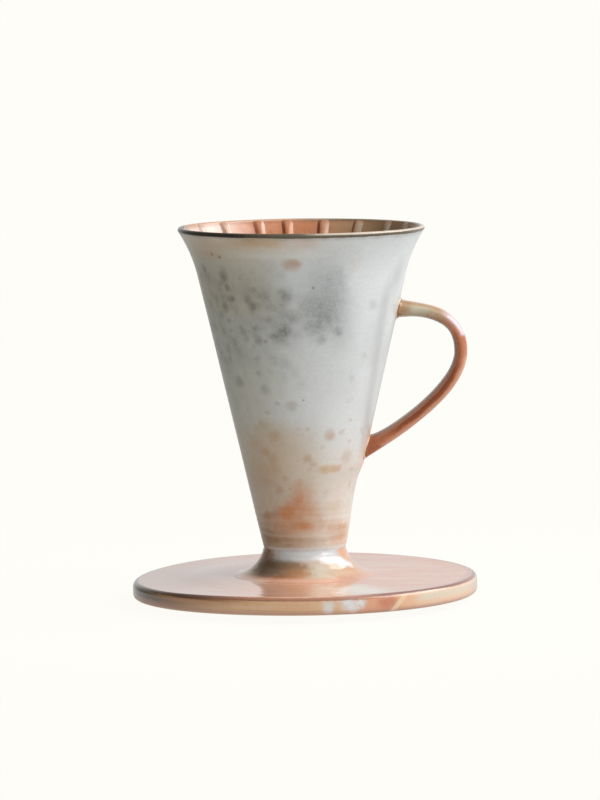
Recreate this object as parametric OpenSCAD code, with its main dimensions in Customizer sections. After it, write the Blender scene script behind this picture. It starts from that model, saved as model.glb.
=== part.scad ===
// Pour-over coffee dripper in glazed stoneware. A tall cone with a flared lip and ribs inside
// stands on a trumpet-shaped neck and a wide round plate, and carries an ear-shaped strap handle.
// Millimetres, +Z up. The origin is on the axis, in the plane of the plate's underside, where the
// dripper rests on the rim of a cup. The handle is on the +X side.

/* [Cone] */
// Height of the lip above the plate's underside
total_h = 137; // [132:0.2:142]
// Outer radius of the cone where it stands on the neck
cone_foot_r = 15.3; // [15:0.1:17]
// Half angle of the cone's straight outer side, in degrees
cone_half_angle = 12.9; // [12:0.1:14]
// Height of the flare, from the straight side to the lip
flare_h = 18; // [16:0.2:20]
// Radius of the flare's concave curve
flare_r = 52; // [48:1:60]
// Wall thickness at the lip and through the flare
lip_t = 1.8; // [1.6:0.1:2.6]
// Wall thickness at the cone's foot
foot_t = 3.6; // [3.2:0.1:4]
// Depth of the cone's tenon in the neck
tenon_h = 2.5; // [1.5:0.5:3.5]

/* [Lip band] */
// Thickness of the iron glaze band that wraps the lip
band_t = 0.3; // [0.2:0.05:0.5]
// How far the band reaches down each side of the lip
band_leg = 0.3; // [0.2:0.1:1.6]

/* [Ribs] */
// Number of ribs inside the cone
rib_count = 20; // [12:1:24]
// Height of a rib above the inner wall
rib_h = 1.3; // [0.8:0.1:1.6]
// Angle that a rib takes up around the axis, in degrees, so that it narrows towards the outlet
rib_span = 6; // [3:0.1:7]
// Turn of the first rib from the +Y direction towards +X, in degrees
rib_phase = -5.5; // [-9:0.5:9]
// Drop from the lip to the top of a rib
rib_drop = 1.2; // [1.2:0.2:8]

/* [Outlet] */
// Radius of the drip hole in the cone's floor
outlet_r = 6; // [4:0.5:8]
// Thickness of the floor at the cone's wall
floor_t = 4.5; // [4:0.5:6]
// Fall of the floor's top from the wall to the hole
floor_fall = 1; // [0.5:0.1:1.5]
// Radius of the open throat through the neck
throat_r = 10; // [8:0.5:10.5]

/* [Neck] */
// Height of the neck above the plate
neck_h = 10.4; // [9:0.1:12]
// Radius of the neck's concave side
neck_curve_r = 13; // [12.5:0.5:14]
// Radius of the spigot that passes down through the plate
spigot_r = 16; // [14:0.5:20]

/* [Plate] */
// Radius of the plate
plate_r = 64.3; // [56:0.1:70]
// Thickness of the plate
plate_t = 6.8; // [5:0.1:8]
// Rounding of the plate's upper edge
plate_top_edge = 1.2; // [0.8:0.1:1.8]
// Rounding of the plate's lower edge
plate_low_edge = 1.5; // [1:0.1:2.5]

/* [Locating ring] */
// Outer radius of the ring that sits inside a cup's mouth
ring_r = 34; // [30:0.5:36]
// Width of the ring
ring_w = 4.5; // [3:0.5:6]
// Height of the ring below the plate's seat
ring_h = 3; // [2:0.5:4]
// Rounding of the ring's lower edges
ring_edge = 0.6; // [0.4:0.1:0.9]
// Depth of the recess in the plate's underside that the ring is set into
recess_h = 0.8; // [0.5:0.1:1.5]

/* [Handle] */
// Height of the strap's centre where it leaves the cone at the upper joint
handle_top_z = 106; // [102:0.1:108]
// Height of the strap's centre where it meets the cone at the lower joint
handle_low_z = 53.4; // [50:0.1:58]
// Reach of the strap's centre line from the axis
handle_reach = 59; // [56:0.1:61]
// Height of the point where the strap reaches furthest out
handle_apex_z = 90; // [86:0.5:94]
// Slope of the strap where it meets the cone at the lower joint, in degrees from horizontal
handle_low_slope = 31.5; // [24:0.5:36]
// Thickness of the strap, seen from the side
strap_t = 5; // [4:0.1:6]
// Width of the strap, seen from its outer face
strap_w = 11; // [9:0.5:13]
// Width of the slip that is worked round each joint, at the wall
slip_w = 1.6; // [1:0.1:2]
// Thickness of the slip's thin edge along the strap
slip_edge = 0.15; // [0.1:0.05:0.3]

/* [Hidden] */
$fn = 96;

// Glaze and clay colours
ash_grey = [0.74, 0.74, 0.71];
iron_black = [0.20, 0.16, 0.12];
copper_peach = [0.80, 0.55, 0.42];
blush = [0.79, 0.64, 0.55];
amber = [0.71, 0.38, 0.25];
bare_clay = [0.80, 0.70, 0.58];

// Segments on a curve, stations along the handle, and points around its section
arc_steps = 8;
handle_steps = 32;
section_points = 24;

// The cone's shoulder stands on the neck's top, and its tenon goes down into the neck
cone_z = plate_t + neck_h;
tenon_z = cone_z - tenon_h;
tenon_t = foot_t / 2;
flare_z = total_h - flare_h;
flare_start_r = cone_foot_r + tan(cone_half_angle) * (flare_z - cone_z);
flare_centre = [
    flare_start_r + flare_r * cos(cone_half_angle),
    flare_z - flare_r * sin(cone_half_angle)
];

// Slope of the flare at the lip, whose rounded end reaches total_h:
// flare_centre.y + (flare_r + lip_t / 2) sin(lip_angle) + lip_t / 2 = total_h
lip_angle = asin((total_h - lip_t / 2 - flare_centre[1]) / (flare_r + lip_t / 2));
lip_centre = flare_centre + (flare_r + lip_t / 2) * [-cos(lip_angle), sin(lip_angle)];

// Inner side: a straight cone from the shoulder to the flare
inner_foot_r = cone_foot_r - foot_t;
inner_top = flare_centre + (flare_r + lip_t) * [-cos(cone_half_angle), sin(cone_half_angle)];
inner_slope = (inner_top[0] - inner_foot_r) / (inner_top[1] - cone_z);

// Points on an arc about a centre, from one angle to another
function arc(centre, r, from, to) = [
    for (i = [0 : arc_steps])
        let (a = from + (to - from) * i / arc_steps)
            centre + r * [cos(a), sin(a)]
];
function reversed(points) = [for (i = [len(points) - 1 : -1 : 0]) points[i]];

// The cone's sides from the shoulder to the lip, moved into the wall by d
function outer_side(d = 0) = concat(
    [[cone_foot_r - d, cone_z]],
    arc(flare_centre, flare_r + d, 180 - cone_half_angle, 180 - lip_angle)
);
function inner_side(d = 0) = concat(
    [[inner_foot_r + d, cone_z]],
    arc(flare_centre, flare_r + lip_t - d, 180 - cone_half_angle, 180 - lip_angle)
);

// Section of the wall with its rounded lip, thinner by d on every side but the shoulder
module wall_section(d = 0) {
    polygon(concat(
        outer_side(d),
        arc(lip_centre, lip_t / 2 - d, -lip_angle, 180 - lip_angle),
        reversed(inner_side(d))
    ));
}

// Section of the glaze band: a skin of the wall, above a line across the lip
module band_section() {
    zone = 4 * lip_t;
    intersection() {
        translate(lip_centre)
            rotate(-lip_angle)
                translate([-zone / 2, -band_leg])
                    square(zone);
        difference() {
            wall_section();
            wall_section(band_t);
        }
    }
}

module cone_wall() {
    color(ash_grey)
        rotate_extrude() {
            difference() {
                wall_section();
                band_section();
            }
            translate([inner_foot_r, tenon_z])
                square([tenon_t, tenon_h]);
        }
}

module lip_band() {
    color(iron_black)
        rotate_extrude()
            band_section();
}

// Section of a rib: a layer on the inner side, from just above the floor to just under the lip
module rib_section() {
    floor_gap = 0.5;
    rib_z = tenon_z + floor_t + floor_gap;
    intersection() {
        polygon(concat(inner_side(), reversed(inner_side(-rib_h))));
        translate([0, rib_z])
            square([flare_centre[0], total_h - rib_drop - rib_z]);
    }
}

module brewing_ribs() {
    color(copper_peach)
        for (i = [0 : rib_count - 1])
            rotate([0, 0, 90 - rib_phase - i * 360 / rib_count - rib_span / 2])
                rotate_extrude(angle = rib_span)
                    rib_section();
}

// Floor of the cone: a disc that stands on the neck's shoulder, inside the cone's foot, and falls
// towards the round drip hole
module drip_floor() {
    floor_z = tenon_z + floor_t;
    color(copper_peach)
        rotate_extrude()
            polygon([
                [outlet_r, tenon_z],
                [inner_foot_r, tenon_z],
                [inner_foot_r, cone_z],
                [inner_foot_r + inner_slope * (floor_z - cone_z), floor_z],
                [outlet_r, floor_z - floor_fall]
            ]);
}

// Neck: concave outside, with a socket for the cone's tenon, a straight throat, and a spigot that
// goes down through the plate
module neck() {
    skirt_edge = 0.4; // height of the skirt's thin outer edge
    curve_z = plate_t + neck_curve_r;
    top_angle = asin((neck_curve_r - neck_h) / neck_curve_r);
    skirt_angle = asin((neck_curve_r - skirt_edge) / neck_curve_r);
    curve_centre = [cone_foot_r + neck_curve_r * cos(top_angle), curve_z];
    side = arc(curve_centre, neck_curve_r, 180 + skirt_angle, 180 + top_angle);
    socket_r = inner_foot_r + tenon_t;
    color(blush)
        rotate_extrude()
            polygon(concat(
                [[throat_r, recess_h], [spigot_r, recess_h], [spigot_r, plate_t]],
                [[side[0][0], plate_t]],
                side,
                [[socket_r, cone_z], [socket_r, tenon_z], [throat_r, tenon_z]]
            ));
}

// Plate: flat seat below, recessed inside it for the locating ring, with a hole for the neck
module base_plate() {
    ring_gap = 0.2;
    recess_r = ring_r + ring_gap;
    color(blush)
        rotate_extrude()
            polygon(concat(
                [[spigot_r, recess_h], [recess_r, recess_h], [recess_r, 0]],
                arc([plate_r - plate_low_edge, plate_low_edge], plate_low_edge, -90, 0),
                arc([plate_r - plate_top_edge, plate_t - plate_top_edge], plate_top_edge, 0, 90),
                [[spigot_r, plate_t]]
            ));
}

// Ring with a narrower tongue that is set into the plate's recess
module locating_ring() {
    shoulder_w = 1; // width of the shoulder outside the tongue
    inner_r = ring_r - ring_w;
    tongue_r = ring_r - shoulder_w;
    color(bare_clay)
        rotate_extrude()
            polygon(concat(
                [[inner_r, recess_h]],
                arc([inner_r + ring_edge, ring_edge - ring_h], ring_edge, 180, 270),
                arc([ring_r - ring_edge, ring_edge - ring_h], ring_edge, 270, 360),
                [[ring_r, 0], [tongue_r, 0], [tongue_r, recess_h]]
            ));
}

// The handle's centre line is two cubic curves, in x and z, that meet at its outermost point.
// Both ends reach a little inside the cone's wall, and are cut back to its surface. Each pull says
// how far a curve runs straight on from one of its ends, as a share of its reach or its height.
root_depth = 1.8;
top_pull = 0.475;
apex_up_pull = 0.886;
apex_down_pull = 0.388;
low_pull = 0.432;
function outer_r(z) = cone_foot_r + tan(cone_half_angle) * (z - cone_z);
apex = [handle_reach, handle_apex_z];
low_dir = [cos(handle_low_slope), sin(handle_low_slope)];
top_end = [outer_r(handle_top_z) - root_depth, handle_top_z];
low_end = [outer_r(handle_low_z), handle_low_z] - root_depth * low_dir;
upper_curve = [
    top_end,
    top_end + [top_pull * (handle_reach - top_end[0]), 0],
    apex + [0, apex_up_pull * (handle_top_z - handle_apex_z)],
    apex
];
lower_curve = [
    apex,
    apex - [0, apex_down_pull * (handle_apex_z - handle_low_z)],
    low_end + low_pull * (handle_apex_z - handle_low_z) * low_dir,
    low_end
];

function cubic(c, t) =
    pow(1 - t, 3) * c[0] + 3 * t * pow(1 - t, 2) * c[1] + 3 * t * t * (1 - t) * c[2] + pow(t, 3) * c[3];
function cubic_dir(c, t) =
    pow(1 - t, 2) * (c[1] - c[0]) + 2 * t * (1 - t) * (c[2] - c[1]) + t * t * (c[3] - c[2]);

// Place and direction at s, from 0 at the upper joint to 1 at the lower one
function on_handle(s) = s < 0.5 ? cubic(upper_curve, 2 * s) : cubic(lower_curve, 2 * s - 1);
function handle_dir(s) =
    let (d = s < 0.5 ? cubic_dir(upper_curve, 2 * s) : cubic_dir(lower_curve, 2 * s - 1))
        d / norm(d);

// Stations stand closer together near the joints
function station(i) = (1 - cos(180 * i / handle_steps)) / 2;

// How much the strap spreads, from 1 at a joint to 0 along the arm. The lower joint spreads only on
// the strap's upper, inner side.
top_spread_length = 0.09; // as a share of the handle
low_spread_length = 0.08;
top_wider = 1; // how much wider at each edge, and thicker on each face, the strap is at the joint
top_thicker = 0.7;
low_wider = 0.8;
low_thicker = 2;
function top_spread(s) = exp(-pow(s / top_spread_length, 2));
function low_spread(s) = exp(-pow((1 - s) / low_spread_length, 2));

// One ring of points around the strap at s: a rounded rectangle, made as a superellipse
corner_power = 0.75; // 1 is an ellipse, and less is squarer
function strap_ring(s, grow = 0) =
    let (
        p = on_handle(s),
        d = handle_dir(s),
        half_w = strap_w / 2 + top_wider * top_spread(s) + low_wider * low_spread(s) + grow,
        out_t = strap_t / 2 + top_thicker * top_spread(s) + grow,
        in_t = out_t + low_thicker * low_spread(s)
    ) [
        for (i = [0 : section_points - 1])
            let (
                a = 360 * i / section_points,
                u = (cos(a) < 0 ? out_t : in_t) * sign(cos(a)) * pow(abs(cos(a)), corner_power),
                v = half_w * sign(sin(a)) * pow(abs(sin(a)), corner_power)
            ) [p[0] + u * d[1], v, p[1] - u * d[0]]
    ];

// Triangles of a tube through rings of points, the first ring's points starting at an index
function tube(first, steps) = let (n = section_points) [
    for (i = [0 : steps - 1], j = [0 : n - 1])
        let (a = first + i * n + j, b = first + i * n + (j + 1) % n)
            each [[a, b + n, a + n], [a, b, b + n]]
];
function flipped(faces) = [for (f = faces) [f[0], f[2], f[1]]];

module strap() {
    last = handle_steps * section_points;
    polyhedron(
        points = [for (i = [0 : handle_steps]) each strap_ring(station(i))],
        faces = concat(
            tube(0, handle_steps),
            [[for (j = [section_points - 1 : -1 : 0]) j]],
            [[for (j = [0 : section_points - 1]) last + j]]
        )
    );
}

// A sleeve of slip around the strap, over some steps from a station. It is thick at the wall, at
// its first or its last station, and thins to its edge in a hollow curve.
module slip_sleeve(first, steps, wall_first) {
    n = section_points;
    skin = (steps + 1) * n;
    last = steps * n;
    function grow(k) =
        let (x = (wall_first ? k : steps - k) / steps)
            slip_edge + (slip_w - slip_edge) * pow(1 - x, 2);
    polyhedron(
        points = concat(
            [for (k = [0 : steps]) each strap_ring(station(first + k), grow(k))],
            [for (k = [0 : steps]) each strap_ring(station(first + k))]
        ),
        faces = concat(
            tube(0, steps),
            flipped(tube(skin, steps)),
            [for (j = [0 : n - 1]) let (b = (j + 1) % n)
                each [[b, j, skin + j], [b, skin + j, skin + b]]],
            [for (j = [0 : n - 1]) let (b = (j + 1) % n)
                each [[last + j, last + b, skin + last + b], [last + j, skin + last + b, skin + last + j]]]
        )
    );
}

// The cone as a solid, below its flare, to cut the handle's ends back to its surface
module cone_core() {
    translate([0, 0, cone_z])
        cylinder(h = flare_z - cone_z, r1 = cone_foot_r, r2 = flare_start_r);
}

module handle() {
    color(amber)
        difference() {
            strap();
            cone_core();
        }
}

module upper_handle_joint() {
    steps = 5;
    color(amber)
        difference() {
            slip_sleeve(0, steps, true);
            cone_core();
        }
}

module lower_handle_joint() {
    steps = 4;
    color(amber)
        difference() {
            slip_sleeve(handle_steps - steps, steps, false);
            cone_core();
        }
}

cone_wall();
lip_band();
brewing_ribs();
drip_floor();
neck();
base_plate();
locating_ring();
handle();
upper_handle_joint();
lower_handle_joint();
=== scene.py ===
from math import asin, atan, atan2, ceil, copysign, cos, degrees, dist, exp, hypot, pi, radians
from math import sin, sqrt, tan

import bmesh
import bpy
from mathutils import Matrix, Vector, noise


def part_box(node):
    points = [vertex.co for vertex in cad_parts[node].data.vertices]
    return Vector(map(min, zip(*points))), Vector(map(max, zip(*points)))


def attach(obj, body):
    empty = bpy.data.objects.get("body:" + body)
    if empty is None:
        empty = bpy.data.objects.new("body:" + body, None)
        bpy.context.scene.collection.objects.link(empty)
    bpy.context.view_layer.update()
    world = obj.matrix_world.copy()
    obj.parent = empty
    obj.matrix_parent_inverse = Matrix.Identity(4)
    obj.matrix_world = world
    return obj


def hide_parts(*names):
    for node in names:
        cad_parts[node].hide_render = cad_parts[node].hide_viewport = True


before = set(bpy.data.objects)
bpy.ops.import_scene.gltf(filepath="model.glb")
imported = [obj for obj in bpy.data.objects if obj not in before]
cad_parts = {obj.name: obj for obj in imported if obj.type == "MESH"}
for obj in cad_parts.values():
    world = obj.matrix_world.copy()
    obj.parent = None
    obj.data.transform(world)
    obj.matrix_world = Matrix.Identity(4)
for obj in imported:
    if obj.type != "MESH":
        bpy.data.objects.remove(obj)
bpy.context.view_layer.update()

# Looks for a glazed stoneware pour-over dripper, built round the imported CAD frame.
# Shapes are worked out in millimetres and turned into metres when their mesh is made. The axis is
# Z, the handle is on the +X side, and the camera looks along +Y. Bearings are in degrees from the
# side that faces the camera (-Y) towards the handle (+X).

MM = 0.001


# ---- sizes, in mm

def cad_box(node):
    """A CAD node's lowest and highest corners, in mm."""
    low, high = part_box(node)
    return low / MM, high / MM


LIP_Z = cad_box("lip_band")[1].z
PLATE_R = cad_box("base_plate")[1].x
PLATE_T = cad_box("base_plate")[1].z
NECK_LOW, NECK_HIGH = cad_box("neck")
FLOOR_LOW, FLOOR_HIGH = cad_box("drip_floor")
RING_LOW, RING_HIGH = cad_box("locating_ring")
RIB_HIGH = cad_box("brewing_ribs")[1]
CONE_Z = NECK_HIGH.z  # the cone's shoulder stands on the neck's top
TENON_Z = FLOOR_LOW.z
RECESS_H = NECK_LOW.z

CONE_FOOT_R = 15.3
CONE_SLOPE = tan(radians(12.9))
FLARE_H = 18.0
FLARE_R = 52.0
LIP_T = 1.8
FOOT_T = 3.6
FLARE_Z = LIP_Z - FLARE_H
FLARE_START_R = CONE_FOOT_R + CONE_SLOPE * (FLARE_Z - CONE_Z)
INNER_FOOT_R = CONE_FOOT_R - FOOT_T
TENON_R = INNER_FOOT_R + FOOT_T / 2
THROAT_R = 10.0
SPIGOT_R = 16.0
NECK_CURVE_R = 13.0
OUTLET_R = 6.0
RIB_COUNT = 20
RIB_PHASE = -5.5  # degrees from +Y towards +X
RIB_H = 1.3
RIB_HALF_ANGLE = 3.1  # degrees, at the foot of the rib's flanks

flare_half_angle = atan(CONE_SLOPE)
FLARE_CENTRE = (
    FLARE_START_R + FLARE_R * cos(flare_half_angle),
    FLARE_Z - FLARE_R * sin(flare_half_angle),
)
LIP_ANGLE = asin((LIP_Z - LIP_T / 2 - FLARE_CENTRE[1]) / (FLARE_R + LIP_T / 2))
LIP_CENTRE = (
    FLARE_CENTRE[0] - (FLARE_R + LIP_T / 2) * cos(LIP_ANGLE),
    FLARE_CENTRE[1] + (FLARE_R + LIP_T / 2) * sin(LIP_ANGLE),
)


# ---- outlines

def arc(centre, r, start, end, steps):
    """Points on an arc, angles in degrees."""
    points = []
    for i in range(steps + 1):
        a = radians(start + (end - start) * i / steps)
        points.append((centre[0] + r * cos(a), centre[1] + r * sin(a)))
    return points


def line(start, end, step):
    """Points from start up to, and without, end, no more than a step apart."""
    count = max(1, ceil(dist(start, end) / step))
    return [tuple(s + (e - s) * i / count for s, e in zip(start, end)) for i in range(count)]


def run(step, *corners):
    """Points along straight lines through corners, no more than a step apart, without the last."""
    points = []
    for start, end in zip(corners, corners[1:]):
        points += line(start, end, step)
    return points


def outer_r(z):
    """The cone's outer radius on its straight side."""
    return CONE_FOOT_R + CONE_SLOPE * (z - CONE_Z)


FLARE_FROM = 180 - degrees(flare_half_angle)
FLARE_TO = 180 - degrees(LIP_ANGLE)
INNER_TOP = arc(FLARE_CENTRE, FLARE_R + LIP_T, FLARE_FROM, FLARE_TO, 1)[0]
INNER_SLOPE = (INNER_TOP[0] - INNER_FOOT_R) / (INNER_TOP[1] - CONE_Z)


def inner_r(z):
    """The cone's inner radius: straight, then along the flare."""
    if z < INNER_TOP[1]:
        return INNER_FOOT_R + INNER_SLOPE * (z - CONE_Z)
    rise = z - FLARE_CENTRE[1]
    return FLARE_CENTRE[0] - sqrt((FLARE_R + LIP_T) ** 2 - rise**2)


def lip_oval(a):
    """How far the lip is out of round, in mm."""
    return 0.12 * cos(2 * a + 0.7)


def lip_lift(a):
    """How far the lip's edge is out of level, in mm."""
    return 0.14 * wave(a, 0, 3, 30)


def wave(a, z, seed, size):
    """Smooth noise from -1 to 1 round the form, at an angle a in radians, with features of a size."""
    r = 40.0 / size
    return noise.noise(Vector((r * cos(a), r * sin(a), z / size + 17.3 * seed)))


def ease(x, low, high):
    """0 below low, 1 above high, smooth between."""
    t = min(1.0, max(0.0, (x - low) / (high - low)))
    return t * t * (3 - 2 * t)


# ---- meshes

def add_object(name, data):
    """A new object in the scene."""
    thing = bpy.data.objects.new(name, data)
    bpy.context.scene.collection.objects.link(thing)
    return thing


def finish_piece(name, shape, materials, node, sharp=40.0, paint=None):
    """Makes a mesh object that stands for one CAD node. shape is its points in mm and its faces, and
    paint holds float attributes for the materials, one value per point."""
    mesh = bpy.data.meshes.new(name)
    mesh.from_pydata([Vector(point) * MM for point in shape[0]], [], shape[1])
    for key, values in (paint or {}).items():
        mesh.attributes.new(key, "FLOAT", "POINT").data.foreach_set("value", values)
    bm = bmesh.new()
    bm.from_mesh(mesh)
    bmesh.ops.recalc_face_normals(bm, faces=bm.faces)
    bm.to_mesh(mesh)
    bm.free()
    mesh.shade_smooth()
    mesh.set_sharp_from_angle(angle=radians(sharp))
    for material in materials:
        mesh.materials.append(material)
    piece = add_object(name, mesh)
    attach(piece, "root")
    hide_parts(node)
    return piece


def angles(count):
    """Evenly spaced angles in radians, once round."""
    return [2 * pi * i / count for i in range(count)]


def turned_point(r, a, z):
    """The point at a radius, an angle from +X in radians, and a height."""
    return (r * cos(a), r * sin(a), z)


def loft(rings, closed_path=False):
    """Points and faces of a tube through rings of points, with a fan at each open end. The fans'
    two middle points come last."""
    verts = [p for ring in rings for p in ring]
    n, m = len(rings[0]), len(rings)
    faces = []
    for i in range(m if closed_path else m - 1):
        k = (i + 1) % m
        for j in range(n):
            b = (j + 1) % n
            faces.append((i * n + j, i * n + b, k * n + b, k * n + j))
    if not closed_path:
        for first in (0, (m - 1) * n):
            ring = verts[first:first + n]
            verts.append(tuple(sum(p[axis] for p in ring) / n for axis in range(3)))
            for j in range(n):
                faces.append((first + j, first + (j + 1) % n, len(verts) - 1))
    return verts, faces


def lathe(outline, segments, move):
    """Points and quads of a closed outline of (radius, height), turned about the axis. move takes
    (radius, height, angle) and gives the radius and height of a hand-thrown form."""
    rings = []
    for a in angles(segments):
        places = [move(r, z, a) for r, z in outline]
        rings.append([turned_point(r, a, z) for r, z in places])
    return loft(rings, closed_path=True)


def build_cone(outside, inside):
    """The thrown cone: spiral throwing lines that are strongest near the foot, a wall that isn't
    quite round, and a hollow under the handle, pressed by a thumb when the joint was worked. Its
    inner faces take the inside glaze."""
    edge = 0.14  # rounding of the shoulder's outer edge
    pitch = 2.35  # of the throwing lines
    outline = arc((CONE_FOOT_R - edge, CONE_Z + edge), edge, -90, -12, 4)
    outline += line(outline[-1], (FLARE_START_R, FLARE_Z), 0.42)[1:]
    outline += arc(FLARE_CENTRE, FLARE_R, FLARE_FROM, FLARE_TO, 36)
    lip_turn = degrees(LIP_ANGLE)
    outline += arc(LIP_CENTRE, LIP_T / 2, -lip_turn, 180 - lip_turn, 16)[1:-1]
    outline += arc(FLARE_CENTRE, FLARE_R + LIP_T, FLARE_TO, FLARE_FROM, 30)
    outline += line(INNER_TOP, (INNER_FOOT_R, CONE_Z), 2.0)[1:]
    outline += line((INNER_FOOT_R, CONE_Z), (INNER_FOOT_R, TENON_Z), 0.8)
    outline += [(INNER_FOOT_R, TENON_Z), (TENON_R, TENON_Z), (TENON_R, CONE_Z)]

    def thrown(r, z, a):
        body = ease(z, CONE_Z + 0.5, CONE_Z + 3)
        outer = ease(r, inner_r(z) + 1, inner_r(z) + 2)
        strength = 0.012 + 0.045 * (1 - ease(z, 26, 44))
        spiral = sin(2 * pi * z / pitch + a) * (0.6 + 0.6 * wave(a, z, 1, 14))
        lines = strength * spiral * body * outer
        sway = 0.10 * wave(a, z, 2, 34) * body
        oval = lip_oval(a) * ease(z, 60, LIP_Z)
        lip = lip_lift(a) * ease(z, LIP_Z - 8, LIP_Z)
        hollow = -1.15 * max(0.0, cos(a)) ** 1.5 * ease(z, 19, 38) * (1 - ease(z, 42, 50)) * outer
        return r + lines + sway + oval + hollow, z + lip

    shape = lathe(outline, 256, thrown)
    piece = finish_piece("thrown_cone", shape, [outside, inside], "cone_wall")
    for face in piece.data.polygons:
        out = face.center.xy
        if out.length < LIP_CENTRE[0] * MM and face.normal.xy.dot(out) < 0:
            face.material_index = 1
    return piece


def build_lip_band(material):
    """The coat of iron glaze over the lip: a thin cap whose edges run unevenly down both sides."""
    coat = 0.05
    lip_turn = degrees(LIP_ANGLE)
    segments, leg_steps, lip_steps = 320, 5, 22

    def leg(length, r, lift, side):
        """Points down one side of the flare, lift off its surface. An outer skin thins to nothing."""
        points = []
        for i in range(1, leg_steps + 1):
            share = i / leg_steps
            a = FLARE_TO + degrees(length * share / FLARE_R)
            off = lift * (1 - share**2) if lift > 0 else lift
            points += arc(FLARE_CENTRE, r + side * off, a, a, 1)[:1]
        return points

    def section(out_leg, in_leg, lift):
        """From the outer leg's end, over the lip, to the inner leg's end, lift off the surface."""
        over = arc(LIP_CENTRE, LIP_T / 2 + lift, -lip_turn, 180 - lip_turn, lip_steps)
        return leg(out_leg, FLARE_R, lift, -1)[::-1] + over + leg(in_leg, FLARE_R + LIP_T, lift, 1)

    rings = []
    for a in angles(segments):
        out_leg = 0.30 + 0.2 * wave(a, 0, 5, 9) + 0.12 * wave(a, 0, 6, 3)
        in_leg = 0.35 + 0.25 * wave(a, 0, 7, 8)
        ring = section(out_leg, in_leg, coat) + section(out_leg, in_leg, -coat)[::-1]
        sway = 0.10 * wave(a, LIP_Z, 2, 34) + lip_oval(a)
        rings.append([turned_point(r + sway, a, z + lip_lift(a)) for r, z in ring])
    shape = loft(rings, closed_path=True)
    return finish_piece("lip_glaze_band", shape, [material], "lip_band", sharp=70)


def build_ribs(material):
    """Rounded ribs down the inner wall. Each rises out of the wall in soft flanks, narrows towards
    the outlet, and fades out at both ends."""
    stations, across = 72, 14
    bed = 0.25  # how far each rib is set into the wall
    hand_shift = {0: -1.5, 1: -1.2, 4: -2.0, 19: 1.6}  # ribs that stand off the even spacing, degrees
    low_z, high_z = FLOOR_HIGH.z - 0.3, RIB_HIGH.z + 1.05
    verts, faces, relief, flank = [], [], [], []
    for k in range(RIB_COUNT):
        shift = hand_shift.get(k, 0.5 * sin(5.1 * k))
        centre = radians(90 - RIB_PHASE - k * 360 / RIB_COUNT - shift)
        top = high_z + 0.15 * sin(2.3 * k)
        rings = []
        for i in range(stations + 1):
            z = low_z + (top - low_z) * i / stations
            wall = inner_r(z)
            ends = sqrt(ease(z, low_z, low_z + 2.5) * ease(top - z, 0, 0.45))
            lean = radians(0.35) * wave(centre, z, 11, 26)
            half = radians(RIB_HALF_ANGLE) * (1 + 0.10 * wave(centre, z, 12, 18))
            height = RIB_H * ends * (1 + 0.12 * wave(centre, z, 13, 12))
            ring = []
            for j in range(across + 1):
                t = 2 * j / across - 1
                share = (1 - abs(t) ** 1.8) ** 1.2
                r = wall + 0.03 - height * share
                a = centre + lean + half * t
                ring.append(turned_point(r, a, z))
                relief.append(share * ends)
                flank.append(t)
            for t in (1, 0, -1):
                a = centre + lean + half * t
                ring.append(turned_point(wall + bed, a, z))
                relief.append(0.0)
                flank.append(t)
            rings.append(ring)
        first = len(verts)
        rib_verts, rib_faces = loft(rings)
        relief += [0.0, 0.0]  # the loft's last two points
        flank += [0.0, 0.0]
        verts += rib_verts
        faces += [tuple(first + v for v in face) for face in rib_faces]
    shape = (verts, faces)
    paint = {"relief": relief, "flank": flank}
    return finish_piece("inner_ribs", shape, [material], "brewing_ribs", 60, paint)


def build_drip_floor(material):
    """The floor disc, dished, with a rounded edge to its outlet."""
    edge = 0.8
    wall_z = FLOOR_HIGH.z
    hole_z = wall_z - 1.0
    corner = (INNER_FOOT_R, CONE_Z)
    outline = run(1, (OUTLET_R, TENON_Z), (INNER_FOOT_R, TENON_Z), corner) + [corner]
    outline += line((inner_r(wall_z) - 0.02, wall_z), (OUTLET_R + edge, hole_z), 0.6)
    outline += arc((OUTLET_R + edge, hole_z - edge), edge, 90, 180, 6)

    def hand_cut(r, z, a):
        return r + 0.1 * wave(a, z, 21, 8) * (1 - ease(r, OUTLET_R, OUTLET_R + 2)), z

    shape = lathe(outline, 128, hand_cut)
    return finish_piece("outlet_floor", shape, [material], "drip_floor")


def neck_side(steps):
    """The neck's concave side, from its thin skirt on the plate up to the cone's foot."""
    skirt = 0.06
    height = CONE_Z - PLATE_T
    top_angle = asin((NECK_CURVE_R - height) / NECK_CURVE_R)
    skirt_angle = asin((NECK_CURVE_R - skirt) / NECK_CURVE_R)
    centre = (CONE_FOOT_R + NECK_CURVE_R * cos(top_angle), PLATE_T + NECK_CURVE_R)
    start, end = 180 + degrees(skirt_angle), 180 + degrees(top_angle)
    return arc(centre, NECK_CURVE_R, start, end, steps)


def build_neck(material):
    """The trumpet-shaped neck, with its throat, spigot and socket."""
    side = neck_side(56)
    sunk_z = PLATE_T - 0.1  # the skirt is set a little into the plate
    bead = 0.07  # rounding of the neck's upper edge, which leaves a fine groove under the cone
    pitch = 2.1  # of the throwing lines
    skirt_end = (side[0][0], sunk_z)
    outline = run(1, (THROAT_R, RECESS_H), (SPIGOT_R, RECESS_H), (SPIGOT_R, sunk_z), skirt_end)
    outline += [skirt_end] + [p for p in side if p[1] < CONE_Z - bead]
    outline += arc((CONE_FOOT_R - bead, CONE_Z - bead), bead, 10, 90, 5)
    outline += run(1, (TENON_R, CONE_Z), (TENON_R, TENON_Z), (THROAT_R, TENON_Z), (THROAT_R, RECESS_H))

    def thrown(r, z, a):
        outer = ease(r, CONE_FOOT_R - 0.7, CONE_FOOT_R - 0.1) * ease(z, PLATE_T, PLATE_T + 1)
        spiral = 0.04 * sin(2 * pi * z / pitch + a)
        return r + (0.10 * wave(a, z, 31, 10) + spiral) * outer, z

    shape = lathe(outline, 256, thrown)
    return finish_piece("trumpet_neck", shape, [material], "neck")


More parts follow.
